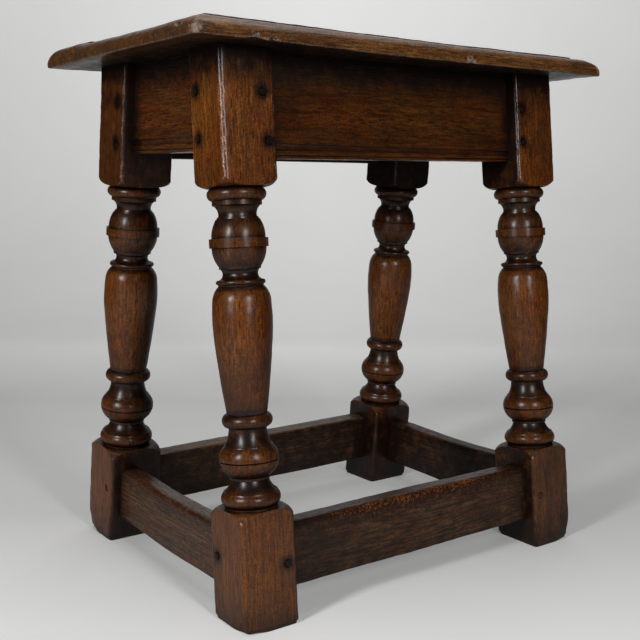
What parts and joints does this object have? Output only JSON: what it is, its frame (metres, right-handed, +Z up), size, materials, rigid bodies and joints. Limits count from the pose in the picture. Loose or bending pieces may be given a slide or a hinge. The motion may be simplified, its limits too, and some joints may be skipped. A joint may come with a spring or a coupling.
{
  "type": "joint stool",
  "caption": "Joined oak stool: raked turned legs with square blocks, moulded rails, low stretchers and a thumbnail-edged seat board, all held by wooden pegs.",
  "frame": {"origin": "on the floor, under the middle of the seat board", "axes": "+X along the stool towards its right end, +Y to the back, +Z up"},
  "size_m": [0.4688, 0.3124, 0.492],
  "materials": {
    "board_oak": "waxed and worn antique oak",
    "turned_oak": "waxed antique oak, dark in the coves",
    "rail_oak": "waxed antique oak, worn along the arrises",
    "peg_oak": "dark end grain of riven oak"
  },
  "bodies": {
    "root": {"end_rail_left": "rail_oak", "end_rail_right": "rail_oak", "end_stretcher_left": "rail_oak", "end_stretcher_right": "rail_oak", "leg_back_left": "turned_oak", "leg_back_right": "turned_oak", "leg_front_left": "turned_oak", "leg_front_right": "turned_oak", "long_rail_back": "rail_oak", "long_rail_front": "rail_oak", "long_stretcher_back": "rail_oak", "long_stretcher_front": "rail_oak", "peg_end_rail_left_back_lower": "peg_oak", "peg_end_rail_left_back_upper": "peg_oak", "peg_end_rail_left_front_lower": "peg_oak", "peg_end_rail_left_front_upper": "peg_oak", "peg_end_rail_right_back_lower": "peg_oak", "peg_end_rail_right_back_upper": "peg_oak", "peg_end_rail_right_front_lower": "peg_oak", "peg_end_rail_right_front_upper": "peg_oak", "peg_end_stretcher_left_back": "peg_oak", "peg_end_stretcher_left_front": "peg_oak", "peg_end_stretcher_right_back": "peg_oak", "peg_end_stretcher_right_front": "peg_oak", "peg_long_rail_back_left_lower": "peg_oak", "peg_long_rail_back_left_upper": "peg_oak", "peg_long_rail_back_right_lower": "peg_oak", "peg_long_rail_back_right_upper": "peg_oak", "peg_long_rail_front_left_lower": "peg_oak", "peg_long_rail_front_left_upper": "peg_oak", "peg_long_rail_front_right_lower": "peg_oak", "peg_long_rail_front_right_upper": "peg_oak", "peg_long_stretcher_back_left": "peg_oak", "peg_long_stretcher_back_right": "peg_oak", "peg_long_stretcher_front_left": "peg_oak", "peg_long_stretcher_front_right": "peg_oak", "peg_seat_back_left": "peg_oak", "peg_seat_back_right": "peg_oak", "peg_seat_front_left": "peg_oak", "peg_seat_front_right": "peg_oak", "seat_board": "board_oak"}
  },
  "joints": []
}
